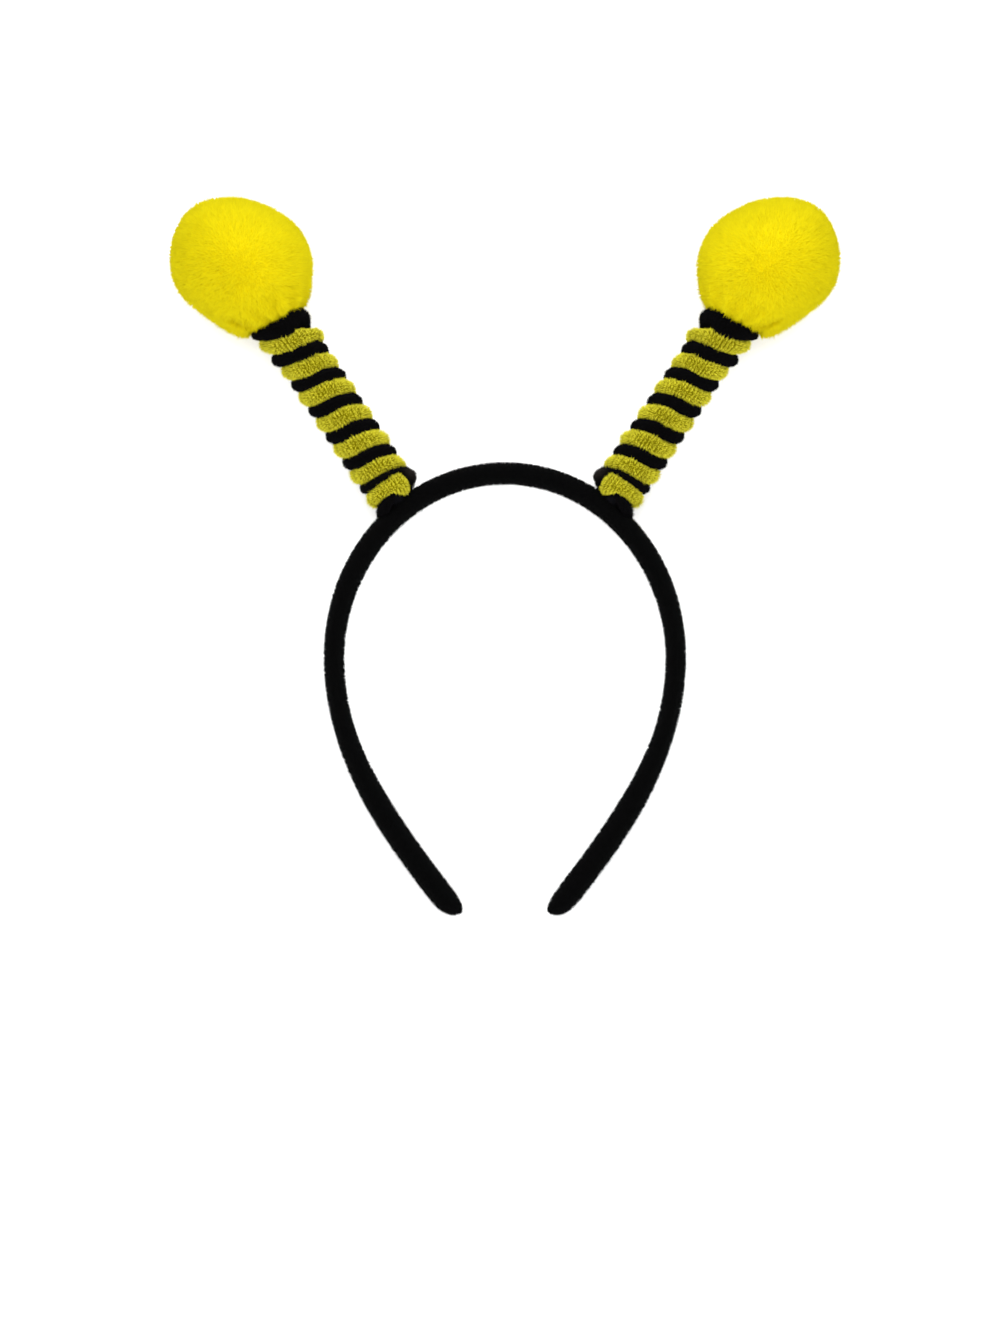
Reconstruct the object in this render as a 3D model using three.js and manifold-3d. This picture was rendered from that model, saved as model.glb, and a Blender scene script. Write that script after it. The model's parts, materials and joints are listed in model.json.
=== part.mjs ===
// Bee antenna headband: a padded velour band that carries two stems, each wound with a black and
// a yellow chenille and topped by a plush pompom. Lengths are in millimetres, angles in degrees.
// The headband lies on its back on its two pompoms and the tips of its band, at z = 0:
// +X runs across it, +Y from the tips to the pompoms, and +Z up.
import * as THREE from "three";
import { mergeVertices } from "three/addons/utils/BufferGeometryUtils.js";
import Module from "manifold-3d";

const { cos, sin, tan, atan2, sqrt, ceil, max, min, PI } = Math;
const { degToRad, radToDeg, lerp, smoothstep } = THREE.MathUtils;

// Space between two pieces that touch.
const clearance = 0.3;

// The band, along the middle of its padding, seen from the front.
const bandHalfWidth = 59;
const bandCrownHeight = 63.5; // above its widest place
const bandLegDrop = 88.95; // from its widest place to its tips
const tipHalfGap = 16.4; // from the middle to a tip
const tipLean = 38; // of a leg at its tip, from upright
const legStraight = 33.5; // how long a leg keeps straight below the widest place
const legSweep = 38; // and how long it keeps its lean above the tip
const bandDepth = 11; // front to back
const crownThickness = 7.55;
const sideThickness = 6.75;
const legThickness = 8.35;
const crownReach = 0.3; // share of half of the band, from the top, that is as thick as there
const sideReach = 0.6; // share that ends where the thin side starts to widen
const legReach = 0.8; // and where the leg has its full thickness
const tipRounding = 8;
const tipPoint = 0.4; // how far its end lies towards the inner face, as a share of half of it

// The stems stand on the outer face of the band.
const stemSpacing = 73.7; // between their feet
const stemLean = 33.6; // from upright, outwards
const coilDiameter = 18.8;
const coilFlare = 2.4; // wider at the top
const flareStart = 1.9; // turns below its top where it starts to widen
const flareEnd = 0.9;
const coilHeight = 74; // up the post, from the band to the pompom
const coilLead = 10.67; // rise of one turn of both chenilles
const footCant = 2; // the turns dip towards the middle of the headband, more and more
const topCant = 7;
const seatCant = 11.8; // and the pompom's underside dips a little more
const chenilleThickness = 5.25; // towards the post
const blackShare = 0.47; // of the lead, the rest is yellow
const chenilleGap = 0.35;
const chenilleEnd = 2; // length over which a cut end rounds off
const chenilleThin = 0.8; // least height of the black one where it runs out under the pompom
const chenilleFill = 0.25; // turns in which the black one fills out, past the yellow one's end

// Posts hold the stems in the band and the pompoms.
const postInBand = 3;
const postInPompom = 12;

// The pompoms.
const pompomDiameter = 48.3;
const pompomSeat = 1.9; // how far the coil reaches into the ball
const seatDepth = 1.4; // of the hollow for the coil, front to back, as a share of its width
const pompomPress = 0.8; // flattened where it rests
const lockHeight = 2;
const lockUneven = 0.3; // share of its height by which a lock is taller or lower than another
const lockWander = 0.07; // how far a lock stands out of line, as a share of the ball's radius
const lockSpread = 0.62; // half of a lock's width, as a share of the way to the next one
const lockSink = 0.7; // share of a lock's height that lies inside the outline
const gathers = 7; // folds round the stem
const gatherDepth = 1.4;
const gatherWay = [30, 62]; // from the stem, where a fold starts to fade and where it ends
const neckSwell = 1.3; // the fabric bulges where it is tied to the coil
const swellWay = [28, 50]; // and flattens out

// Facets.
const bandSides = 12;
const bandSteps = 36; // on each half
const tipShares = [0.45, 0.75, 0.92, 0.99]; // of the rounding at a tip, where its rings lie
const chenilleSides = 6;
const turnSteps = 12;
const endShares = [0.05, 0.4, 1]; // of the rounding at a cut end, where its rings lie
const leastStep = 0.3; // of a step, from there to the next ring
const postSides = 16;
const lockRows = 3; // of locks along each edge of the ball's icosahedron
const lockSteps = 3; // facets from one lock to the next
const faceSteps = 200; // along half of the band, for the line of its face
const halvings = 40; // of a range, to find a place or an angle in it

// Chenille at the foot of a stem, by turns from the inner side of the first one. The black tail
// lies on the band under the yellow one. The yellow tail's cut end stands in front of the post,
// and the black one climbs over it. Lifts are shares of the lead above a plain winding.
const blackStart = 0.28;
const yellowStart = 0.09;
const yellowShort = 0.88; // turns that the yellow one ends below the black one
const plainFoot = 0.907; // turn at which a plain black winding would leave the band
const footRows = [
  { turn: 0.17, under: 0, over: 0 },
  { turn: 0.25, under: 0, over: 0.48 },
  { turn: 0.36, under: 0, over: 0.33 },
  { turn: 0.5, under: 0, over: 0.03 },
  { turn: 0.95, under: 0, over: 0.05 },
  { turn: 1.1, under: 0.52, over: 0.14 },
  { turn: 1.17, under: 0.46, over: 0.11 },
  { turn: 1.3, under: 0.29, over: 0.05 },
  { turn: 1.5, under: 0.04, over: 0 },
  { turn: 1.65, under: 0, over: 0 },
];

// Outline of a pompom from the front, by degrees from the stem round the middle side:
// its reach from the centre, as a share of the radius.
const outlineRows = [
  { round: 0, reach: 0.93 },
  { round: 12, reach: 0.94 },
  { round: 27, reach: 0.97 },
  { round: 56, reach: 1 },
  { round: 87, reach: 0.955 },
  { round: 122, reach: 0.915 },
  { round: 155, reach: 1 },
  { round: 190, reach: 1.12 },
  { round: 216, reach: 1.09 },
  { round: 250, reach: 1.02 },
  { round: 287, reach: 0.905 },
  { round: 303, reach: 0.92 },
  { round: 326, reach: 0.98 },
  { round: 340, reach: 0.93 },
  { round: 360, reach: 0.93 },
];

const wasm = await Module();
wasm.setup();

// A column of a table at a place between its rows, eased from row to row.
function read(rows, key, place, column) {
  const next = rows.findIndex((row) => row[key] >= place);
  if (next <= 0) return (next < 0 ? rows.at(-1) : rows[0])[column];
  const [before, after] = [rows[next - 1], rows[next]];
  return lerp(before[column], after[column], smoothstep(place, before[key], after[key]));
}

// How full a rounded end is at a distance from it.
function rounded(distance, length) {
  const left = max(0, 1 - distance / length);
  return sqrt(1 - left * left);
}

// One closed skin over rings of points, with each end drawn to its middle.
function skin(rings) {
  const sides = rings[0].length;
  const middle = (ring) =>
    ring.reduce((sum, point) => sum.add(point), new THREE.Vector3()).divideScalar(sides);
  const ends = [middle(rings[0]), middle(rings.at(-1))];
  const points = [...rings.flat(), ...ends];
  const [first, last] = [points.length - 2, points.length - 1];
  const faces = [];
  for (let side = 0; side < sides; side++) {
    const next = (side + 1) % sides;
    for (let ring = 0; ring + 1 < rings.length; ring++) {
      const [a, b] = [ring * sides + side, ring * sides + next];
      faces.push(a, b, b + sides, a, b + sides, a + sides);
    }
    const top = (rings.length - 1) * sides;
    faces.push(first, next, side, last, top + side, top + next);
  }
  const geometry = new THREE.BufferGeometry().setFromPoints(points);
  geometry.setIndex(faces);
  return geometry;
}

// A closed geometry as a solid that can be joined and cut, and the way back.
function toSolid(geometry) {
  const bare = geometry.clone();
  bare.deleteAttribute("normal");
  bare.deleteAttribute("uv");
  const merged = mergeVertices(bare, 1e-4);
  const index = merged.index.array;
  const faces = [];
  for (let i = 0; i < index.length; i += 3) {
    const [a, b, c] = index.slice(i, i + 3);
    if (a !== b && b !== c && c !== a) faces.push(a, b, c);
  }
  const vertProperties = merged.attributes.position.array;
  return new wasm.Manifold(
    new wasm.Mesh({ numProp: 3, vertProperties, triVerts: new Uint32Array(faces) }),
  );
}

function toGeometry(solid) {
  const { vertProperties, triVerts } = solid.getMesh();
  const geometry = new THREE.BufferGeometry();
  geometry.setAttribute("position", new THREE.BufferAttribute(vertProperties, 3));
  geometry.setIndex(new THREE.BufferAttribute(triVerts, 1));
  geometry.computeVertexNormals();
  return geometry;
}

// Left half of the band's middle line, from the top of the crown to the tip.
const tip = new THREE.Vector2(-tipHalfGap, -bandLegDrop);
const tipWay = new THREE.Vector2(-sin(degToRad(tipLean)), cos(degToRad(tipLean)));
const halfBand = new THREE.CurvePath();
halfBand.add(new THREE.EllipseCurve(0, 0, bandHalfWidth, bandCrownHeight, PI / 2, PI));
halfBand.add(
  new THREE.CubicBezierCurve(
    new THREE.Vector2(-bandHalfWidth, 0),
    new THREE.Vector2(-bandHalfWidth, -legStraight),
    tip.clone().addScaledVector(tipWay, legSweep),
    tip,
  ),
);
const halfLength = halfBand.getLength();
const sidePlace = halfBand.curves[0].getLength() / halfLength;
const bandRows = [
  { place: 0, thickness: crownThickness },
  { place: crownReach, thickness: crownThickness },
  { place: sidePlace, thickness: sideThickness },
  { place: sideReach, thickness: sideThickness },
  { place: legReach, thickness: legThickness },
  { place: 1, thickness: legThickness },
];

// The band at a place from 0 at its top to 1 at its left tip: a point on the middle line, the way
// out of the band in its own plane, and half of its thickness and depth.
function bandAt(place) {
  const way = halfBand.getTangentAt(place);
  const out = new THREE.Vector2(way.y, -way.x);
  const full = rounded((1 - place) * halfLength, tipRounding);
  const whole = read(bandRows, "place", place, "thickness") / 2;
  const middle = halfBand.getPointAt(place).addScaledVector(out, -tipPoint * whole * (1 - full));
  return { middle, out, half: full * whole, deep: (full * bandDepth) / 2 };
}

function bandRing(place, side) {
  const { middle, out, half, deep } = bandAt(place);
  const ring = [];
  for (let i = 0; i < bandSides; i++) {
    const round = (2 * PI * i) / bandSides;
    const away = half * cos(round);
    const point = new THREE.Vector3(middle.x + away * out.x, middle.y + away * out.y, 0);
    point.x *= -side;
    point.z = deep * sin(round);
    ring.push(point);
  }
  return ring;
}

function bandSkin() {
  // The steps close up towards the tip, where the band rounds off.
  const lastStep = 1 - tipRounding / halfLength;
  const places = [];
  for (let step = 0; step <= bandSteps; step++) places.push((lastStep * step) / bandSteps);
  for (const share of tipShares) places.push(lerp(lastStep, 1, share));
  const left = places.map((place) => bandRing(place, -1)).reverse();
  const right = places.slice(1).map((place) => bandRing(place, 1));
  return skin([...left, ...right]);
}

// Where the left stem stands: the place on the band whose outer face is half the spacing out.
function stemFoot() {
  let [low, high] = [0, sidePlace];
  let face;
  for (let step = 0; step < halvings; step++) {
    const place = (low + high) / 2;
    const { middle, out, half } = bandAt(place);
    face = middle.clone().addScaledVector(out, half);
    if (-face.x < stemSpacing / 2) low = place;
    else high = place;
  }
  return { place: low, face };
}

const foot = stemFoot();
const lean = degToRad(stemLean);

// In a stem's own frame x points to the middle of the headband, y up the stem and z to the front.
function placeStem(object, side) {
  object.position.set(-side * foot.face.x, foot.face.y, 0);
  object.rotation.z = -side * lean;
  object.updateMatrix();
  return object;
}

// Height of the band's face over the left stem's foot, at a place beside the stem.
const faceLine = [];
for (let place = 0; place <= sidePlace; place += 1 / faceSteps) {
  const { middle, out, half } = bandAt(place);
  const point = middle.clone().addScaledVector(out, half).sub(foot.face);
  point.rotateAround(new THREE.Vector2(), -lean);
  faceLine.unshift({ across: point.x, rise: point.y });
}
const { half: footHalf, deep: footDeep } = bandAt(foot.place);

function faceRise(across, deep) {
  const fall = footHalf * (1 - sqrt(max(0, 1 - (deep / footDeep) ** 2)));
  return read(faceLine, "across", across, "rise") - fall;
}

// The winding. Turns count up the stem from its inner side, by way of the front, so that the left
// coil is a left-handed screw and the right one its mirror image.
const postRadius = coilDiameter / 2 - chenilleThickness - clearance;
const plainHead = plainFoot - blackShare;
const blackEnd = plainFoot + (coilHeight - chenilleThin) / coilLead;
const yellowEnd = blackEnd - yellowShort;

function chenilleHalf(turn) {
  const flare = smoothstep(turn, blackEnd - flareStart, blackEnd - flareEnd);
  return (chenilleThickness + flare * coilFlare / 2) / 2;
}

function wallRise(turn) {
  const round = 2 * PI * turn;
  const inner = postRadius + clearance;
  const spots = [inner, inner + chenilleThickness / 2, inner + chenilleThickness];
  const rises = spots.map((radius) => faceRise(radius * cos(round), radius * sin(round)));
  return max(...rises) + clearance;
}

function ceilingRise(turn) {
  const radius = postRadius + clearance + chenilleHalf(turn);
  return seatRise(radius * cos(2 * PI * turn)) - clearance;
}

function plainRise(turn, start, lift) {
  const cant = lerp(footCant, topCant, (turn * coilLead) / coilHeight);
  const dip = (tan(degToRad(cant)) * (coilDiameter - chenilleThickness)) / 2;
  const plain = coilLead * (turn - start) - dip * cos(2 * PI * turn);
  return plain + coilLead * read(footRows, "turn", turn, lift);
}

// Height of the pompom's underside over a spot beside the post.
const seatRise = (across) => coilHeight - tan(degToRad(seatCant)) * across;

// The bounds of the black chenille. The yellow one lies from its upper bound to its next turn.
// Past the yellow one's end the black one fills the space up to the pompom.
const blackUnder = (turn) => max(wallRise(turn), plainRise(turn, plainFoot, "under"));
function blackOver(turn) {
  const plain = max(wallRise(turn), plainRise(turn, plainHead, "over"));
  const seat = ceilingRise(turn);
  return min(seat, lerp(plain, seat, smoothstep(turn, yellowEnd, yellowEnd + chenilleFill)));
}
const yellowOver = (turn) => min(ceilingRise(turn), blackUnder(turn + 1));

const flatSide = cos(PI / chenilleSides);

function chenille(start, end, under, over) {
  const turnLength = PI * (coilDiameter - chenilleThickness);
  const endTurns = chenilleEnd / turnLength;
  const turns = endShares.map((share) => start + share * endTurns);
  const firstStep = ceil(turns.at(-1) * turnSteps + leastStep);
  for (let step = firstStep; step / turnSteps < end - endTurns; step++) turns.push(step / turnSteps);
  turns.push(...endShares.toReversed().map((share) => end - share * endTurns));
  const rings = turns.map((turn) => {
    const full = rounded(min(turn - start, end - turn) * turnLength, chenilleEnd);
    const half = chenilleHalf(turn);
    const radius = postRadius + clearance + half;
    const middle = (under(turn) + over(turn)) / 2;
    const high = max(chenilleGap, over(turn) - under(turn) - chenilleGap) / 2 / flatSide;
    const ring = [];
    for (let side = 0; side < chenilleSides; side++) {
      const round = (2 * PI * side) / chenilleSides;
      const away = radius + full * half * cos(round);
      ring.push(
        new THREE.Vector3(
          away * cos(2 * PI * turn),
          middle + full * high * sin(round),
          away * sin(2 * PI * turn),
        ),
      );
    }
    return ring;
  });
  return skin(rings);
}

// The post stands in a socket of the band and reaches into one of the pompom.
function post(extra) {
  const low = -postInBand - extra;
  const high = coilHeight + postInPompom + extra;
  const radius = postRadius + extra;
  const geometry = new THREE.CylinderGeometry(radius, radius, high - low, postSides);
  return geometry.translate(0, (high + low) / 2, 0);
}

// The pompom, a ball with the outline of the real one, gathered round the stem.
const pompomRadius = pompomDiameter / 2;
const pompomCentre = coilHeight + pompomRadius - pompomSeat;

// Directions of the points of an icosahedral ball, each edge split in a number of steps.
function ballGeometry(steps) {
  const geometry = new THREE.IcosahedronGeometry(1, steps - 1);
  geometry.deleteAttribute("normal");
  geometry.deleteAttribute("uv");
  return mergeVertices(geometry, 1e-5);
}

function eachPoint(geometry, change) {
  const points = geometry.attributes.position;
  const point = new THREE.Vector3();
  for (let i = 0; i < points.count; i++) {
    change(point.fromBufferAttribute(points, i), i);
    points.setXYZ(i, point.x, point.y, point.z);
  }
  return geometry;
}

// Locks of pile stand close together all round the ball, a little out of line.
function lockTips() {
  const tips = [];
  eachPoint(ballGeometry(lockRows), (point, i) => {
    const wander = new THREE.Vector3(sin(7 * i), sin(11 * i + 1), sin(17 * i + 2));
    const way = point.clone().addScaledVector(wander, lockWander).normalize();
    tips.push({ way, height: lockHeight * (1 + lockUneven * sin(5 * i)) });
  });
  return tips;
}

const toStem = new THREE.Vector3(0, -1, 0);

function ballReach(way) {
  const round = (radToDeg(atan2(way.x, -way.y)) + 360) % 360;
  const flat = 1 - way.z * way.z;
  const reach = 1 + flat * (read(outlineRows, "round", round, "reach") - 1);
  const fromStem = radToDeg(way.angleTo(toStem));
  const fold = cos(gathers * atan2(way.z, way.x)) * (1 - smoothstep(fromStem, ...gatherWay));
  const swell = neckSwell * (1 - smoothstep(fromStem, ...swellWay));
  return reach * pompomRadius + (fold * gatherDepth) / 2 + swell;
}

function ball() {
  const tips = lockTips();
  const spread = (lockSpread * radToDeg(atan2(2, 1))) / lockRows; // of an edge's angle
  return eachPoint(ballGeometry(lockRows * lockSteps), (point) => {
    const way = point.clone().normalize();
    const near = (tip) => radToDeg(way.angleTo(tip.way));
    const tip = tips.reduce((best, next) => (near(next) < near(best) ? next : best));
    const bump = tip.height * (1 - min(1, near(tip) / spread) ** 2);
    point.copy(way).multiplyScalar(ballReach(way) - lockSink * lockHeight + bump);
  });
}

// The underside of the pompom gives way to the top of the coil, in a hollow that is open in front
// and behind.
function pompomSeatHollow() {
  const wide = coilDiameter / 2 + coilFlare / 2 + clearance;
  const hollow = new THREE.BoxGeometry(2 * wide, pompomRadius, 2 * seatDepth * wide);
  const points = hollow.attributes.position;
  for (let i = 0; i < points.count; i++) {
    const top = points.getY(i) > 0;
    points.setY(i, top ? seatRise(points.getX(i)) : coilHeight - pompomRadius);
  }
  return hollow;
}

function pompom(toFloor) {
  const whole = toSolid(ball().translate(0, pompomCentre, 0));
  const under = new THREE.BoxGeometry(8 * pompomDiameter, 8 * pompomDiameter, 2 * pompomDiameter);
  under.translate(0, 0, -pompomDiameter).applyMatrix4(toFloor);
  const cuts = [pompomSeatHollow(), post(clearance), under];
  return toGeometry(cuts.reduce((left, cut) => left.subtract(toSolid(cut)), whole));
}

function piece(name, geometry, color, roughness) {
  const material = new THREE.MeshStandardMaterial({ color, roughness, metalness: 0 });
  const mesh = new THREE.Mesh(geometry, material);
  mesh.name = name;
  return mesh;
}

// The band, with a socket for each post.
const bandGeometry = bandSkin();
let band = toSolid(bandGeometry);
for (const side of [-1, 1]) {
  const socket = post(clearance);
  band = band.subtract(toSolid(socket.applyMatrix4(placeStem(new THREE.Group(), side).matrix)));
}

// How far the headband tips up as it rests: the pompoms hold one end up, and the band's tips come
// down to the floor.
const pompomPlace = new THREE.Vector3(0, pompomCentre, 0);
pompomPlace.applyMatrix4(placeStem(new THREE.Group(), -1).matrix);
const pompomHold = pompomRadius - pompomPress;
const mostTilt = 20; // more than it can be

// Height of the band's tips over the floor.
function tipsAbove(tilt) {
  const points = bandGeometry.attributes.position;
  let lowest = Infinity;
  for (let i = 0; i < points.count; i++)
    lowest = min(lowest, (points.getY(i) - pompomPlace.y) * sin(tilt) + points.getZ(i) * cos(tilt));
  return lowest + pompomHold;
}

let [flatTilt, steepTilt] = [0, degToRad(mostTilt)];
for (let step = 0; step < halvings; step++) {
  const tilt = (flatTilt + steepTilt) / 2;
  if (tipsAbove(tilt) > 0) flatTilt = tilt;
  else steepTilt = tilt;
}

const headband = new THREE.Group();
const laid = new THREE.Group();
laid.rotation.x = flatTilt;
laid.position.z = pompomHold - pompomPlace.y * sin(flatTilt);
headband.add(laid);
laid.add(piece("headband", toGeometry(band), 0x0c0c0e, 0.95));

const stemFrame = placeStem(new THREE.Group(), -1);
laid.add(stemFrame);
headband.updateMatrixWorld(true);
const shapes = {
  black_chenille: chenille(blackStart, blackEnd, blackUnder, blackOver),
  yellow_chenille: chenille(yellowStart, yellowEnd, blackOver, yellowOver),
  pompom: pompom(stemFrame.matrixWorld.clone().invert()),
  post: post(0),
};
laid.remove(stemFrame);
const looks = {
  black_chenille: [0x0c0b0d, 0.9],
  yellow_chenille: [0xc6bc1c, 0.9],
  pompom: [0xecd808, 0.95],
  post: [0x1a1a1c, 0.6],
};
for (const name of ["left", "right"]) {
  const half = new THREE.Group();
  if (name === "right") half.scale.x = -1;
  const stem = placeStem(new THREE.Group(), -1);
  for (const [part, geometry] of Object.entries(shapes))
    stem.add(piece(`${name}_${part}`, geometry, ...looks[part]));
  half.add(stem);
  laid.add(half);
}

// The origin is under the middle of the whole headband, on the floor.
headband.updateMatrixWorld(true);
const extent = new THREE.Box3().setFromObject(headband, true);
laid.position.y = -(extent.min.y + extent.max.y) / 2;

export default headband;
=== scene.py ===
# Dresses the bee antenna headband and sets it on a pale floor in soft light. The velour of the band
# and the chenille round the stems are grown over their solids of the frame. The plush pompoms are
# balls shaped at the ends of the stems. Lengths are in metres, apart from those that are said to be
# in millimetres. A stem's windings, its post and its pompom share the post's axis.
import json
import math

import bpy
import numpy as np
from bpy.props import FloatProperty, FloatVectorProperty, IntProperty, PointerProperty
from mathutils import Matrix, Vector


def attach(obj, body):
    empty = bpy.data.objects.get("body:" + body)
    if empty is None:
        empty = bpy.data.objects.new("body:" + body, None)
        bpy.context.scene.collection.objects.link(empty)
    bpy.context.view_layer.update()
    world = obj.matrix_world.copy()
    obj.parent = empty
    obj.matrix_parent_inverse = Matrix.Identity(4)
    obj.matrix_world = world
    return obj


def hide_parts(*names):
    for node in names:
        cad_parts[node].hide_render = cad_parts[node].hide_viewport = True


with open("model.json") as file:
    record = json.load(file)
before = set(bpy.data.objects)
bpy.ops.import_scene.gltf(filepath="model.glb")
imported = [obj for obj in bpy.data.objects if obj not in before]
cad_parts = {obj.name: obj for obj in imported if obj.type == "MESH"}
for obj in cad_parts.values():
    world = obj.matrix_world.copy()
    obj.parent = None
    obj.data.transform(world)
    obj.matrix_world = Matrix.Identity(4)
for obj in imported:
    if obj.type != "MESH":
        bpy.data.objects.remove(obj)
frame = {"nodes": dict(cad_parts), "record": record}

bl_info = {
    "name": "Bee antenna headband",
    "version": (1, 0, 0),
    "blender": (4, 5, 0),
    "location": "View3D > Sidebar > Headband",
    "description": "Dresses a costume headband with velour, chenille and plush",
    "category": "Add Mesh",
}

SIDES = ("left", "right")
MM = 0.001
BODY = "root"
CLEAR = 0.1 * MM  # least height of a piece's core over the floor
MERGE = 0.01 * MM  # corners of a solid that are nearer than this become one

bpy.context.view_layer.update()


def length(name, description, default, **more):
    return FloatProperty(
        name=name, description=description, default=default, subtype="DISTANCE", unit="LENGTH",
        precision=5, **more,
    )


def colour(name, description, default):
    return FloatVectorProperty(
        name=name, description=description, default=default, subtype="COLOR", size=3, min=0, max=1
    )


class BandSettings(bpy.types.PropertyGroup):
    pile: length("Pile", "Length of the velour's pile", 0.75 * MM)
    swell: length("Swell", "How far its tips stand out of the smoothed solid", 0.6 * MM)
    fibre: length("Fibre", "Width of a fibre at its root", 0.3 * MM)
    fibres: IntProperty(name="Fibres", description="Fibres on the whole band", default=44000)
    # The root colour is painted shade between the fibres, darker than the tips.
    root: colour("Root", "Colour between the fibres", (0.0003, 0.0003, 0.0004))
    tip: colour("Tip", "Colour of the fibres' tips", (0.0017, 0.002, 0.0021))


class ChenilleSettings(bpy.types.PropertyGroup):
    black_swell: length("Black swell", "Pile outside the smoothed black solid", 0.4 * MM)
    yellow_swell: length("Yellow swell", "Pile outside the smoothed yellow solid", 0.7 * MM)
    stem: length("Stem", "From the foot of a winding to the end of its post", 86.4 * MM)
    lift: length("Lift", "How far the turns rise on the inner side", 1.3 * MM)
    slip: length("Slip", "How far the top turns slip outwards", 0.5 * MM)
    drop: length("Drop", "How far the black tail bends down to the band", 2.2 * MM)
    loop: length("Loop", "How far the black loop at the foot stands out", 1.1 * MM)
    fibre: length("Fibre", "Width of a fibre at its root", 0.26 * MM)
    fibres: IntProperty(name="Fibres", description="Fibres on one chenille", default=30000)
    ribs: IntProperty(name="Ribs", description="Rows of pile in one turn", default=41)
    turn: length("Turn", "Height of one turn", 10.67 * MM)
    uneven: FloatProperty(name="Uneven", description="How the rows differ in length", default=0.22)
    # The root colours are painted shade between the fibres, darker than the tips.
    black_root: colour("Black root", "Between the fibres of the black one", (0.0005, 0.0005, 0.0006))
    black_tip: colour("Black tip", "Tips of the black one", (0.0035, 0.003, 0.0042))
    yellow_root: colour("Yellow root", "Between the fibres of the yellow one", (0.17, 0.145, 0.0))
    yellow_tip: colour("Yellow tip", "Tips of the yellow one", (0.88, 0.81, 0.045))
    # The loop colour is a painted sheen on the black loop at the foot, lighter than its pile.
    loop_sheen: colour("Sheen", "Colour of the rubbed loop at the foot", (0.05, 0.04, 0.035))


class PompomSettings(bpy.types.PropertyGroup):
    radius: length("Radius", "Mean radius of the ball", 24.15 * MM)
    rise: length("Rise", "From the end of the post to the middle of the ball", 10.25 * MM)
    hold: length("Hold", "From the end of the post down to the coil", 13.9 * MM)
    seat: length("Seat", "Half of the width of the coil that the ball sits on", 10.9 * MM)
    seat_cant: FloatProperty(
        name="Seat cant", description="How far the ball's seat dips towards the middle",
        default=math.radians(10.5), subtype="ANGLE", unit="ROTATION",
    )
    pile: length("Pile", "Length of the plush", 2.2 * MM)
    fibre: length("Fibre", "Width of a fibre at its root", 0.5 * MM)
    fibres: IntProperty(name="Fibres", description="Fibres on one pompom", default=45000)
    gathers: IntProperty(name="Gathers", description="Folds round the stem", default=13)
    gather_depth: length("Gather depth", "Depth of the folds at the stem", 0.4 * MM)
    bulge: length("Bulge", "How far the plush bulges where it is tied to the coil", 1.3 * MM)
    tuck_depth: length("Tuck depth", "Depth of the tuck over the outer lobe", 1.9 * MM)
    tuck_width: length("Tuck width", "Half of its width", 1.5 * MM)
    # The root colour is painted shade between the fibres, a little darker than the tips.
    root: colour("Root", "Colour between the fibres", (0.72, 0.58, 0.0))
    tip: colour("Tip", "Colour of the fibres' tips", (0.76, 0.65, 0.005))
    # The fold colour is painted shade in the folds round the stem and in the tuck over the outer lobe.
    fold: colour("Fold", "Colour in the folds", (0.60, 0.46, 0.0))


class PostSettings(bpy.types.PropertyGroup):
    shade: colour("Colour", "Colour of the plain posts", (0.002, 0.002, 0.0025))


class StageSettings(bpy.types.PropertyGroup):
    floor: colour("Floor", "Colour of the floor", (0.86, 0.86, 0.86))
    dim: FloatProperty(name="Dim", description="Share of it in the floor's darker parts", default=0.99)
    reach: length("Reach", "Width of the floor", 6.0)
    sky: FloatProperty(name="Sky", description="Strength of the light all round", default=1.7)
    distance: length("Distance", "From the camera to the middle of its view", 1.4)
    height: length("Height", "Height of the view at the headband", 0.4599)
    aim: FloatVectorProperty(
        name="Aim", description="Middle of the view, in the headband's plane",
        default=(-0.0017, -0.0381, 0.0120), subtype="XYZ", unit="LENGTH", precision=5,
    )


# Place, size and power in watts of each light, which faces the middle of the view.
LIGHTS = {
    "Key light": ((0, 0.2, 0.65), 0.4, 3.0),
    "Fill light": ((0, -0.9, 1.0), 1.0, 5),
}
SENSOR = 36  # width of the camera's sensor in millimetres

# A pile: roughness and gloss, how far up a fibre its tip's colour is reached over the painted shade of
# its root, how dark the dark patches are, the two levels of the noise between which they fade, and how
# round a fibre is shaded.
ROUGH, GLOSS = 0.95, 0.05
TIP_COLOUR = 0.7
PATCH = 0.93
PATCH_LEVELS = (0.35, 0.65)
ROUND = 0.6

# A winding's rows: how far roots and tips are combed to the middle of their row, the least and most
# that a row's length is scaled by, and after how many turns the lengths repeat.
COMB_ROOTS, COMB_TIPS = 0.15, 0.55
ROW_LENGTHS = (0.5, 1.5)
ROW_TURNS = 12

# How hand-wound turns differ from the solids, in millimetres of a stem's frame. A pair of numbers
# gives the two places between which a change sets in. Heights are over the foot of the winding.
# Widths are from the stem's axis to the inner side, or to the outer side where that is said. A level
# is a height plus SLANT times the width, which stays the same along the front of one turn.
SLANT = 0.36
OUTER_SCALE = 1.04  # how much wider the outer half is
LIFT_HEIGHTS, LIFT_WIDTHS = (6, 12), (-6, 3)  # the rise of the turns, low on the stem
LIFT_SHIFT, SHIFT_HEIGHTS = 4, (45, 55)  # how much farther in it lies higher up
SIDE = (0, 7)  # from the axis to the side of a coil

# The top black turn is thicker and wider. Its ends are lifted and its middle sags.
BLACK_TOP = (65, 68)  # levels
TOP_MIDDLE, TOP_STRETCH, TOP_WIDEN = 70.5, 0.2, 0.03
INNER_LIFT, OUTER_LIFT, OUTER_WIDTHS, SAG = 1.3, 1.2, (5, 10), 0.8  # widths to the outer side
END_WIDTHS, END_LEVELS = (3, 7), (68.5, 71.5)  # the under side of the inner end, lifted more

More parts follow.
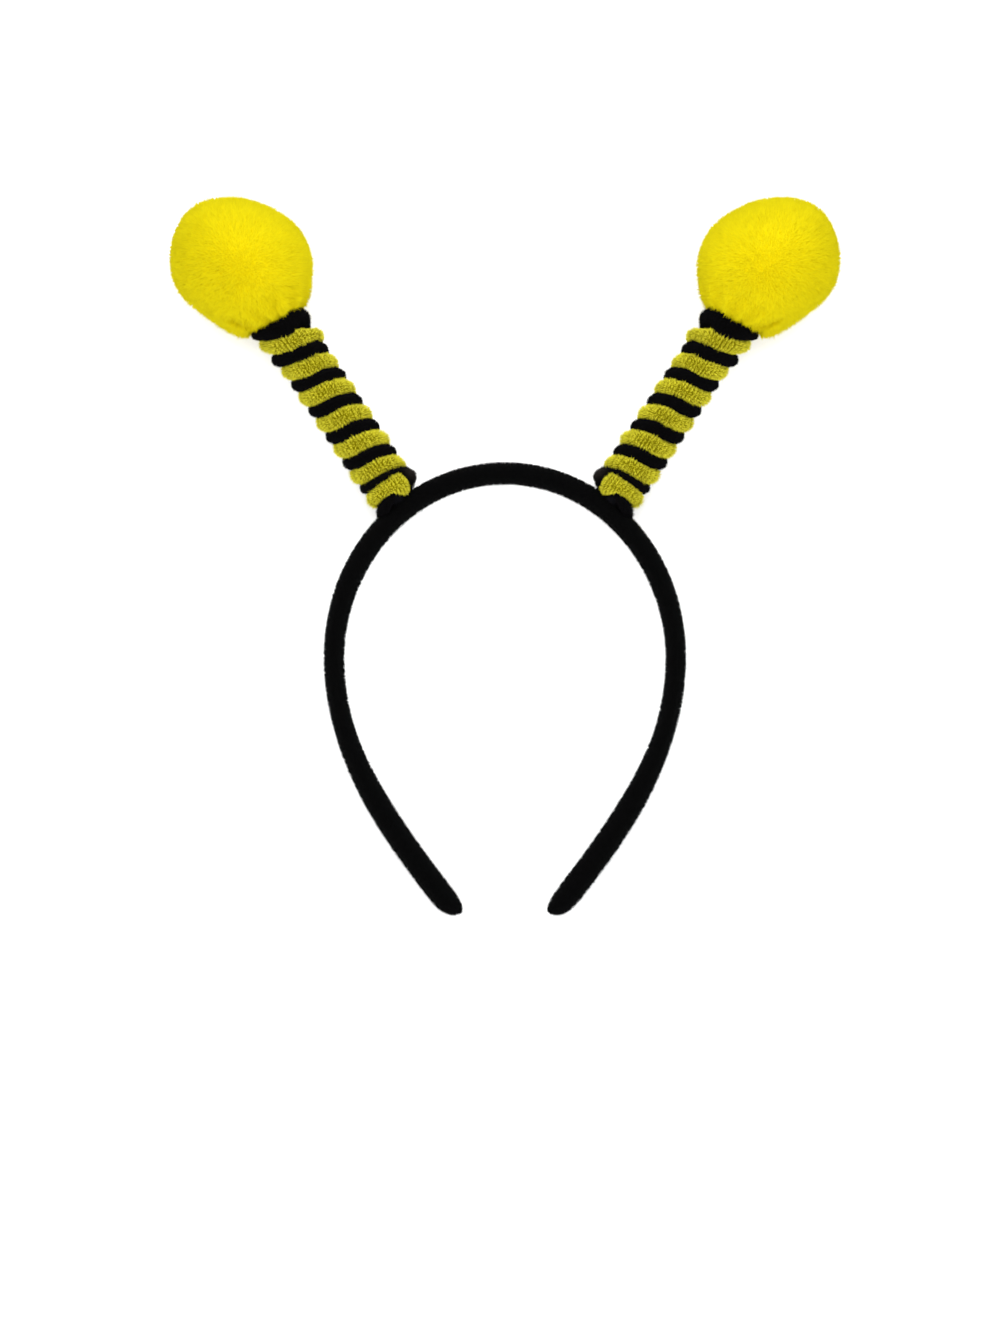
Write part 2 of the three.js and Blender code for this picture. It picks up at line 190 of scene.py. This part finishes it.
# The black tail bends down on the outer side, and the loop at the foot stands out on the inner one.
TAIL_HEIGHTS, TAIL_WIDTHS = (0, 3.5), (2, 7)  # widths to the outer side
LOOP_WIDTHS, LOOP_FOOT, LOOP_HEAD = (6, 8), (1, 3), (7.5, 9.5)
# The share of the painted sheen colour on the black loop.
LOOP_SHEEN = 0.6  # share of the worn colour in it

# The top yellow turn is wider on the inner side and thinner there, and lifted on the outer side. The
# foot of the yellow winding is narrower on the inner side.
YELLOW_TOP = (60, 62.5)  # levels
YELLOW_WIDEN, YELLOW_LIFT, YELLOW_WIDTHS = 1.6, 1.2, (6, 10)  # widths to the outer side
THIN_FROM, THIN, THIN_WIDTHS = 63.3, 0.2, (3, 7)  # the level, and the share above it
FOOT_PULL, PULL_WIDTHS, PULL_HEIGHTS = 0.7, (3, 6), (6, 9)

# A pompom: degrees over which its outline is smoothed and the step between them, degrees from the
# stem between which the bulge and the folds die out, the sway of the folds as they go round, and
# how dark the painted shade in a fold is.
SMOOTHED, SMOOTH_STEP = 12, 3
BULGE_ANGLES, FOLD_ANGLES = (28, 50), (26, 60)
SWAY, SWAYS = 0.9, 3
FOLD_SHADE = 0.4

# Past its edge on the outer side the seat curves up, by SEAT_CURVE times the square of the way.
SEAT_EDGE, SEAT_CURVE = 5 * MM, 60

# Outline of a pompom from the front: degrees from the stem, round by the middle of the headband,
# and the reach from the ball's middle as a share of its radius.
OUTLINE = (
    (0, 0.94), (12, 0.99), (26, 0.995), (56, 0.995), (87, 0.975), (122, 0.925), (155, 1.0),
    (188, 1.15), (216, 1.09), (250, 1.03), (287, 0.88), (303, 0.92), (328, 1.01), (342, 0.91),
)

# Ends of the tuck over the outer lobe of a pompom, as shares of its radius from its middle:
# towards the middle of the headband, up the stem and to the front.
TUCK = ((-0.58, -0.63, 0.42), (-0.42, -0.83, 0.3))

GROUPS = {
    "band": BandSettings,
    "chenille": ChenilleSettings,
    "pompom": PompomSettings,
    "post": PostSettings,
    "stage": StageSettings,
}


def settings(name):
    """The settings of one of the groups in the scene."""
    return getattr(bpy.context.scene, f"headband_{name}")


# Meshes


def alone(obj):
    """Selects one object and makes it the active one."""
    bpy.ops.object.select_all(action="DESELECT")
    obj.select_set(True)
    bpy.context.view_layer.objects.active = obj


def modify(obj, kind, **values):
    """Adds a modifier to an object and applies it."""
    alone(obj)
    bpy.ops.object.modifier_add(type=kind)
    modifier = obj.modifiers[-1]
    for key, value in values.items():
        setattr(modifier, key, value)
    bpy.ops.object.modifier_apply(modifier=modifier.name)


def solid_of(node):
    """A copy of a node's solid whose loose triangles are merged."""
    solid = bpy.data.objects.new("solid", frame["nodes"][node].data.copy())
    solid.data.materials.clear()
    bpy.context.collection.objects.link(solid)
    alone(solid)
    bpy.ops.object.mode_set(mode="EDIT")
    bpy.ops.mesh.select_all(action="SELECT")
    bpy.ops.mesh.remove_doubles(threshold=MERGE)
    bpy.ops.mesh.tris_convert_to_quads()
    bpy.ops.object.mode_set(mode="OBJECT")
    return solid


def twin(obj):
    """A second object with its own copy of the mesh."""
    copy = bpy.data.objects.new(obj.name, obj.data.copy())
    bpy.context.collection.objects.link(copy)
    return copy


def fatten(obj, distance):
    """Moves every face of an object out by a distance, or in."""
    alone(obj)
    bpy.ops.object.mode_set(mode="EDIT")
    bpy.ops.mesh.select_all(action="SELECT")
    bpy.ops.transform.shrink_fatten(value=distance, use_even_offset=False)
    bpy.ops.object.mode_set(mode="OBJECT")


def discard(*objects):
    """Deletes objects with their meshes."""
    for obj in objects:
        bpy.data.meshes.remove(obj.data)


def read_points(vertices, key="co"):
    """The places of vertices, or their normals, as rows of three."""
    values = np.empty(len(vertices) * 3)
    vertices.foreach_get(key, values)
    return values.reshape(-1, 3)


def read_shade(mesh, key):
    """An attribute with a number for each vertex, or noughts."""
    values = np.zeros(len(mesh.vertices))
    if key in mesh.attributes:
        mesh.attributes[key].data.foreach_get("value", values)
    return values


def write_shade(mesh, key, values):
    """Sets an attribute with a number for each vertex."""
    layer = mesh.attributes.get(key) or mesh.attributes.new(key, "FLOAT", "POINT")
    layer.data.foreach_set("value", values)


def unit(vectors):
    """Rows of three scaled to length 1."""
    return vectors / np.maximum(np.linalg.norm(vectors, axis=1, keepdims=True), 1e-12)


def headband_plane():
    """The way from the band's tips to its crown, and the way out of its plane to the front."""
    mouth = next(m for m in frame["record"]["mounts"] if m["name"] == "head")
    crown = -Vector(mouth["axis"]).normalized()
    return crown, Vector((1, 0, 0)).cross(crown)


def stem_frame(side):
    """The end of a stem's post, and a matrix whose rows point from there to the middle of the
    headband, up the stem and to the front."""
    post = frame["nodes"][f"{side}_post"].data
    points = read_points(post.vertices)
    middle = points.mean(axis=0)
    up = np.linalg.svd(points - middle)[2][0]
    up *= np.sign(up[1])
    front = np.array(headband_plane()[1])
    inwards = np.cross(up, front) * (1 if side == "left" else -1)
    return middle + up * ((points - middle) @ up).max(), np.stack([inwards, up, front])


def grow_pile(name, core, skin, fibres, width, seed, splay, comb=None):
    """One piece of a core and its pile. Each fibre stands on the core and ends at the same place on
    the skin, or to one side of it by about splay times its length. Its root and tip then go through
    comb. The attribute tip is 0 on the core and at a root and 1 at a tip, and sets the painted shade
    between the fibres, tint differs from fibre to fibre, and fold is the core's own, which carries
    painted shade in a pompom's folds and tuck and painted sheen on the black loop at a stem's foot."""
    rng = np.random.default_rng(seed)
    inner, outer = read_points(core.data.vertices), read_points(skin.data.vertices)
    for points in (inner, outer):
        points[:, 2] = np.maximum(points[:, 2], CLEAR)
    skin.data.calc_loop_triangles()
    corners = np.empty(len(skin.data.loop_triangles) * 3, dtype=np.int32)
    skin.data.loop_triangles.foreach_get("vertices", corners)
    corners = corners.reshape(-1, 3)
    a, b, c = (outer[corners[:, i]] for i in range(3))
    reach = np.cumsum(np.linalg.norm(np.cross(b - a, c - a), axis=1))
    chosen = np.searchsorted(reach, (np.arange(fibres) + rng.random(fibres)) / fibres * reach[-1])
    chosen = corners[np.minimum(chosen, len(corners) - 1)]
    share = rng.dirichlet((1, 1, 1), fibres)
    root = np.einsum("ij,ijk->ik", share, inner[chosen])
    tip = np.einsum("ij,ijk->ik", share, outer[chosen])
    out = unit(tip - root)
    long = np.linalg.norm(tip - root, axis=1, keepdims=True)
    tip = tip + long * splay * rng.normal(size=(fibres, 3))
    if comb:
        root, tip = comb(root, tip)
    way = unit(tip - root)
    across = unit(np.cross(way, rng.normal(size=(fibres, 3))))
    over = np.cross(way, across)
    rims = []
    for turn in np.arange(3) * 2 * math.pi / 3:
        rims.append(math.cos(turn) * across + math.sin(turn) * over)
    points = np.stack([root + rim * width / 2 for rim in rims] + [tip], axis=1)
    points[..., 2] = np.maximum(points[..., 2], 0)
    normals = np.stack([unit(out + ROUND * rim) for rim in rims] + [out], axis=1)

    mesh = bpy.data.meshes.new(name)
    first = len(inner) + 4 * np.arange(fibres)[:, None]
    sides = [first + np.array(corner) for corner in ((0, 1, 3), (1, 2, 3), (2, 0, 3))]
    faces = [list(face.vertices) for face in core.data.polygons]
    faces += np.concatenate(sides).tolist()
    mesh.from_pydata(np.concatenate([inner, points.reshape(-1, 3)]).tolist(), [], faces)
    mesh.polygons.foreach_set("use_smooth", np.ones(len(faces), dtype=bool))
    flat = np.zeros(len(inner))
    fold = read_shade(core.data, "fold")
    # tip sets the painted shade: the root colour on the core and at the roots, the tip colour at the
    # tips.
    write_shade(mesh, "tip", np.concatenate([flat, np.tile([0.0, 0.0, 0.0, 1.0], fibres)]))
    write_shade(mesh, "tint", np.concatenate([flat, np.repeat(rng.random(fibres), 4)]))
    folds = np.einsum("ij,ij->i", share, fold[chosen])
    write_shade(mesh, "fold", np.concatenate([fold, np.repeat(folds, 4)]))
    own = read_points(core.data.vertices, "normal")
    mesh.normals_split_custom_set_from_vertices(np.concatenate([own, normals.reshape(-1, 3)]))
    piece = bpy.data.objects.new(name, mesh)
    bpy.context.collection.objects.link(piece)
    return piece


def hand_over(piece, node, material):
    """The piece stands for its node, rides on the headband's one body and has its material."""
    piece.data.materials.append(material)
    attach(piece, BODY)
    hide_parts(node)


# Materials


class Shader:
    """A material in the making, with its principled shader."""

    def __init__(self, name, roughness, **fixed):
        self.material = bpy.data.materials.new(name)
        self.material.use_nodes = True
        self.nodes = self.material.node_tree.nodes
        self.links = self.material.node_tree.links
        self.surface = self.nodes["Principled BSDF"]
        self.surface.inputs["Roughness"].default_value = roughness
        for key, value in fixed.items():
            self.surface.inputs[key.replace("_", " ")].default_value = value

    def add(self, kind, **inputs):
        """A new node whose inputs are given by name."""
        node = self.nodes.new(kind)
        for key, value in inputs.items():
            self.join(value, node.inputs[key.replace("_", " ")])
        return node

    def join(self, value, socket):
        """Links a socket to an input, or sets the input to a constant."""
        if isinstance(value, bpy.types.NodeSocket):
            self.links.new(value, socket)
        else:
            socket.default_value = value

    def attribute(self, name):
        node = self.add("ShaderNodeAttribute")
        node.attribute_name = name
        return node.outputs["Fac"]

    def noise(self, scale):
        where = self.add("ShaderNodeTexCoord").outputs["Object"]
        return self.add("ShaderNodeTexNoise", Vector=where, Scale=scale, Detail=2.0).outputs["Fac"]

    def ramp(self, factor, *stops):
        node = self.add("ShaderNodeValToRGB", Fac=factor)
        ramp = node.color_ramp
        while len(ramp.elements) < len(stops):
            ramp.elements.new(0.5)
        for element, (place, shade) in zip(ramp.elements, stops):
            element.position = place
            element.color = (*shade, 1)
        return node.outputs["Color"]

    def mix(self, factor, one, other, blend="MIX"):
        node = self.add("ShaderNodeMix")
        node.data_type = "RGBA"
        node.blend_type = blend
        for key, value in (("Factor", factor), ("A", one), ("B", other)):
            sockets = [s for s in node.inputs if s.name == key and s.enabled]
            self.join(value, sockets[0])
        return next(s for s in node.outputs if s.enabled)

    def paint(self, shade):
        """The finished material in a colour."""
        self.links.new(shade, self.surface.inputs["Base Color"])
        return self.material


def grey(value):
    return (value, value, value)


def pile_material(name, root, tip, patches, contrast, fold=None):
    """Pile with painted shade between its fibres, dark at their roots and lighter at their tips, and
    uneven in large soft patches. A tint darkens a fibre by up to the contrast."""
    shader = Shader(name, ROUGH, Specular_IOR_Level=GLOSS)
    # The ramp from root to tip is painted shade, dark at the roots where shade falls between the
    # fibres, and pale at the tips, which crowd at the outline as a painted sheen.
    shade = shader.ramp(shader.attribute("tip"), (0.0, tuple(root)), (TIP_COLOUR, tuple(tip)))
    # The fold colour is mixed in by the fold attribute: painted shade in a pompom's folds and tuck,
    # painted sheen on the black loop at a stem's foot.
    if fold:
        shade = shader.mix(shader.attribute("fold"), shade, (*fold, 1))
    fibre = shader.ramp(shader.attribute("tint"), (0.0, grey(1 - contrast)), (1.0, grey(1.0)))
    dark, light = PATCH_LEVELS
    uneven = shader.ramp(shader.noise(patches), (dark, grey(PATCH)), (light, grey(1.0)))
    shade = shader.mix(1.0, shade, fibre, "MULTIPLY")
    return shader.paint(shader.mix(1.0, shade, uneven, "MULTIPLY"))


# Pieces


class HEADBAND_OT_band(bpy.types.Operator):
    """Grow the velour of the band over its smoothed solid"""

    bl_idname = "headband.band"
    bl_label = "Velour band"

    def execute(self, context):
        look = settings("band")
        skin = solid_of("headband")
        modify(skin, "SUBSURF", levels=2, render_levels=2)
        core = twin(skin)
        fatten(skin, look.swell)
        fatten(core, look.swell - look.pile)
        piece = grow_pile("velour_band", core, skin, look.fibres, look.fibre, seed=1, splay=0.25)
        discard(core, skin)
        # The velour's core and roots are painted shade between its fibres.
        material = pile_material("Black velour", look.root, look.tip, patches=60, contrast=0.5)
        hand_over(piece, "headband", material)
        return {"FINISHED"}


def rise(values, span):
    """0 up to the start of a span and 1 from its end on, with a gentle rise between them."""
    start, end = span
    share = np.clip((values - start) / (end - start), 0, 1)
    return share * share * (3 - 2 * share)


def fall(values, span):
    return 1 - rise(values, span)


def ribs(side, count, seed):
    """Combs the pile of a winding into rows across it, a number of them to each turn, some of them
    longer than others."""
    end, axes = stem_frame(side)
    turn = settings("chenille").turn
    uneven = settings("chenille").uneven
    lengths = np.random.default_rng(seed).normal(1, uneven, (ROW_TURNS, count))

    def turned(points, share):
        x, y, z = ((points - end) @ axes.T).T
        angle = np.arctan2(z, x)
        row = angle * count / (2 * math.pi)
        angle = angle + (np.round(row) - row) * share * 2 * math.pi / count
        radius = np.hypot(x, z)
        points = end + np.stack([radius * np.cos(angle), y, radius * np.sin(angle)], axis=1) @ axes
        turns = np.floor(-y / turn + row / count).astype(int) % ROW_TURNS
        return points, lengths[turns, np.round(row).astype(int) % count]

    def combed(root, tip):
        root, long = turned(root, COMB_ROOTS)
        tip = turned(tip, COMB_TIPS)[0]
        return root, root + (tip - root) * np.clip(long, *ROW_LENGTHS)[:, None]

    return combed


def settled(points, shade, look):
    """Points of a winding, given in its stem's frame, as a hand winds them, and how far each lies in
    the loop at the foot, from 0 to 1, where the loop stands out and gets a painted sheen."""
    x, y, z = points.T / MM
    slip, up = look.slip / MM, y + look.stem / MM
    x = x * np.where(x < 0, OUTER_SCALE, 1.0)
    level = up + SLANT * x
    shift = LIFT_SHIFT * rise(up, SHIFT_HEIGHTS)
    y = y + look.lift / MM * rise(x - shift, LIFT_WIDTHS) * rise(up, LIFT_HEIGHTS)
    sheened = np.zeros(len(x))
    if shade == "black":
        top = rise(level, BLACK_TOP)
        thick = TOP_STRETCH * (level - TOP_MIDDLE)
        end = rise(x, END_WIDTHS) * fall(level, END_LEVELS)
        x = x - top * (slip - TOP_WIDEN * x)
        ends = INNER_LIFT * rise(x, SIDE) + OUTER_LIFT * rise(-x, OUTER_WIDTHS)
        y = y + top * (thick + end + ends - SAG * fall(np.abs(x), SIDE))
        y = y - look.drop / MM * fall(up, TAIL_HEIGHTS) * rise(-x, TAIL_WIDTHS)
        # The loop at the foot, which stands out and gets a painted sheen.
        sheened = rise(x, LOOP_WIDTHS) * rise(up, LOOP_FOOT) * fall(up, LOOP_HEAD)
        x = x + look.loop / MM * sheened
    else:
        top = rise(level, YELLOW_TOP)
        x = x - FOOT_PULL * rise(x, PULL_WIDTHS) * fall(up, PULL_HEIGHTS)
        x = x + top * (YELLOW_WIDEN * rise(x, SIDE) - slip)
        thin = THIN * np.maximum(0, up + SLANT * x - THIN_FROM) * rise(x, THIN_WIDTHS)
        y = y + top * (YELLOW_LIFT * rise(-x, YELLOW_WIDTHS) - thin)
    return np.stack([x, y, z], axis=1) * MM, sheened


class HEADBAND_OT_windings(bpy.types.Operator):
    """Grow the pile of the black and yellow chenille round the stems"""

    bl_idname = "headband.windings"
    bl_label = "Chenille windings"

    def execute(self, context):
        look = settings("chenille")
        # Each chenille's roots are painted shade between its fibres, and the black one's loop at the
        # foot gets a painted sheen.
        kinds = (
            ("black", look.black_swell, look.black_root, look.black_tip, 0.6, look.loop_sheen),
            ("yellow", look.yellow_swell, look.yellow_root, look.yellow_tip, 0.3, None),
        )
        for seed, (shade, swell, root, tip, contrast, loop_sheen) in enumerate(kinds, 10):
            material = pile_material(
                f"{shade} chenille", root, tip, patches=90, contrast=contrast, fold=loop_sheen
            )
            for side in SIDES:
                end, axes = stem_frame(side)
                node = f"{side}_{shade}_chenille"
                cage = solid_of(node)
                thin = twin(cage)
                modify(thin, "SMOOTH", factor=0.5, iterations=2)
                for form in (cage, thin):
                    modify(form, "SUBSURF", subdivision_type="SIMPLE", levels=1, render_levels=1)
                    modify(form, "SUBSURF", levels=1, render_levels=1)
                fatten(cage, swell)
                for form in (cage, thin):
                    points = (read_points(form.data.vertices) - end) @ axes.T
                    points, sheened = settled(points, shade, look)
                    form.data.vertices.foreach_set("co", (end + points @ axes).ravel())
                    # The fold attribute carries the painted sheen of the black loop; the yellow
                    # winding has none.
                    write_shade(form.data, "fold", LOOP_SHEEN * sheened)
                    form.data.update()
                piece = grow_pile(
                    f"{side}_{shade}_pile", thin, cage, look.fibres, look.fibre, seed=seed,
                    splay=0.14, comb=ribs(side, look.ribs, seed),
                )
                discard(cage, thin)
                hand_over(piece, node, material)
        return {"FINISHED"}


def ball_form(ways, look):
    """Points of a pompom's skin in its stem's frame, the way to each from the ball's middle given,
    and the share of painted shade on each, from 0 to 1, in the folds round the stem and in the tuck."""
    x, y, z = ways.T
    round_stem = np.degrees(np.arctan2(x, -y)) % 360
    degrees, shares = np.array(OUTLINE).T
    turns = range(-SMOOTHED, SMOOTHED + 1, SMOOTH_STEP)
    near = [np.interp(round_stem + turn, degrees, shares, period=360) for turn in turns]
    reach = 1 + (1 - z * z) * (np.mean(near, axis=0) - 1)
    from_stem = np.degrees(np.arccos(np.clip(-y, -1, 1)))
    bulge = look.bulge * fall(from_stem, BULGE_ANGLES)
    around = np.arctan2(z, x)
    gather = 0.5 + 0.5 * np.cos(look.gathers * around + SWAY * np.sin(SWAYS * around))
    fold = fall(from_stem, FOLD_ANGLES) * gather
    points = ways * (reach * look.radius + bulge - look.gather_depth * fold)[:, None]

    start, end = (np.array(corner) * look.radius for corner in TUCK)
    along = end - start
    share = np.clip((points - start) @ along / (along @ along), 0, 1)
    away = np.linalg.norm(points - start - share[:, None] * along, axis=1)
    tuck = np.exp(-((away / look.tuck_width) ** 2))
    points -= ways * (look.tuck_depth * tuck)[:, None]
    points[:, 1] += look.rise

    # The ball sits on the coil, and bulges over it beside the seat.
    seat = -look.hold - math.tan(look.seat_cant) * points[:, 0]
    seat += SEAT_CURVE * np.maximum(0, -points[:, 0] - SEAT_EDGE) ** 2
    under = np.clip((look.seat - np.abs(points[:, 0])) / MM + 1, 0, 1)
    points[:, 1] += under * np.maximum(0, seat - points[:, 1])
    # The painted shade: darker in the folds round the stem and in the tuck over the outer lobe.
    return points, np.maximum(FOLD_SHADE * fold, tuck)


class HEADBAND_OT_pompoms(bpy.types.Operator):
    """Grow the plush of the pompoms, gathered round their stems"""

    bl_idname = "headband.pompoms"
    bl_label = "Plush pompoms"

    def execute(self, context):
        look = settings("pompom")
        # The plush's roots are painted shade between its fibres, and its folds and tuck get painted
        # shade.
        material = pile_material(
            "Yellow plush", look.root, look.tip, patches=45, contrast=0.12, fold=look.fold
        )
        for seed, side in enumerate(SIDES, 20):
            end, axes = stem_frame(side)
            bpy.ops.object.select_all(action="DESELECT")
            bpy.ops.mesh.primitive_ico_sphere_add(subdivisions=6, radius=1, location=(0, 0, 0))
            skin = bpy.context.object
            ways = unit(read_points(skin.data.vertices) @ axes.T)
            points, fold = ball_form(ways, look)
            points = end + points @ axes
            skin.data.vertices.foreach_set("co", points.ravel())
            # The fold attribute holds the painted shade of the folds and the tuck.
            write_shade(skin.data, "fold", fold)
            skin.data.update()
            core = twin(skin)
            fatten(core, -look.pile)
            piece = grow_pile(
                f"{side}_plush", core, skin, look.fibres, look.fibre, seed=seed, splay=0.2
            )
            discard(core, skin)
            hand_over(piece, f"{side}_pompom", material)
        return {"FINISHED"}


class HEADBAND_OT_posts(bpy.types.Operator):
    """Give the plain posts their finish"""

    bl_idname = "headband.posts"
    bl_label = "Posts"

    def execute(self, context):
        shader = Shader("Post", 0.9, Specular_IOR_Level=0.0)
        shade = tuple(settings("post").shade)
        light = tuple(2 * part for part in shade)
        material = shader.paint(shader.ramp(shader.noise(300), (0.3, shade), (0.7, light)))
        for side in SIDES:
            frame["nodes"][f"{side}_post"].material_slots[0].material = material
        return {"FINISHED"}


class HEADBAND_OT_stage(bpy.types.Operator):
    """Lay the floor and set up the lights and the camera"""

    bl_idname = "headband.stage"
    bl_label = "Stage"

    def execute(self, context):
        look = settings("stage")
        scene = context.scene
        scene.view_settings.view_transform = "Standard"
        bpy.ops.object.select_all(action="DESELECT")
        bpy.ops.mesh.primitive_plane_add(size=look.reach, location=(0, 0, 0))
        floor = context.object
        floor.name = "floor"
        shader = Shader("Floor", 0.9, Specular_IOR_Level=0.1)
        shade = tuple(look.floor)
        dim = tuple(look.dim * part for part in shade)
        shades = shader.ramp(shader.noise(2), (0.4, dim), (0.6, shade))
        floor.data.materials.append(shader.paint(shades))

        world = bpy.data.worlds.new("Studio")
        world.use_nodes = True
        world.node_tree.nodes["Background"].inputs["Color"].default_value = (1, 1, 1, 1)
        world.node_tree.nodes["Background"].inputs["Strength"].default_value = look.sky
        scene.world = world

        crown, back = headband_plane()
        turn = Matrix((crown.cross(back), crown, back)).transposed().to_4x4()
        aim = Vector(look.aim)

        for name, (place, size, power) in LIGHTS.items():
            spot = Vector(place)
            bpy.ops.object.light_add(type="AREA", location=spot)
            light = context.object
            light.name = name
            light.rotation_euler = (spot - aim).to_track_quat("Z", "Y").to_euler()
            light.data.size = size
            light.data.energy = power

        bpy.ops.object.camera_add(location=aim + back * look.distance, rotation=turn.to_euler())
        camera = context.object
        camera.data.sensor_width = SENSOR
        camera.data.lens = SENSOR * look.distance / look.height
        scene.camera = camera
        return {"FINISHED"}


STEPS = (
    HEADBAND_OT_stage,
    HEADBAND_OT_band,
    HEADBAND_OT_windings,
    HEADBAND_OT_pompoms,
    HEADBAND_OT_posts,
)


class HEADBAND_PT_tools(bpy.types.Panel):
    """The headband's settings and steps"""

    bl_idname = "HEADBAND_PT_tools"
    bl_label = "Bee antenna headband"
    bl_space_type = "VIEW_3D"
    bl_region_type = "UI"
    bl_category = "Headband"

    def draw(self, context):
        for name, group in GROUPS.items():
            box = self.layout.box()
            box.label(text=name.capitalize())
            for key in group.__annotations__:
                box.prop(settings(name), key)
        for step in STEPS:
            self.layout.operator(step.bl_idname)


CLASSES = (*GROUPS.values(), *STEPS, HEADBAND_PT_tools)


def register():
    for cls in CLASSES:
        bpy.utils.register_class(cls)
    for name, group in GROUPS.items():
        setattr(bpy.types.Scene, f"headband_{name}", PointerProperty(type=group))


def unregister():
    for name in GROUPS:
        delattr(bpy.types.Scene, f"headband_{name}")
    for cls in reversed(CLASSES):
        bpy.utils.unregister_class(cls)


def main():
    register()
    for step in STEPS:
        family, name = step.bl_idname.split(".")
        getattr(getattr(bpy.ops, family), name)()


if __name__ == "__main__":
    main()
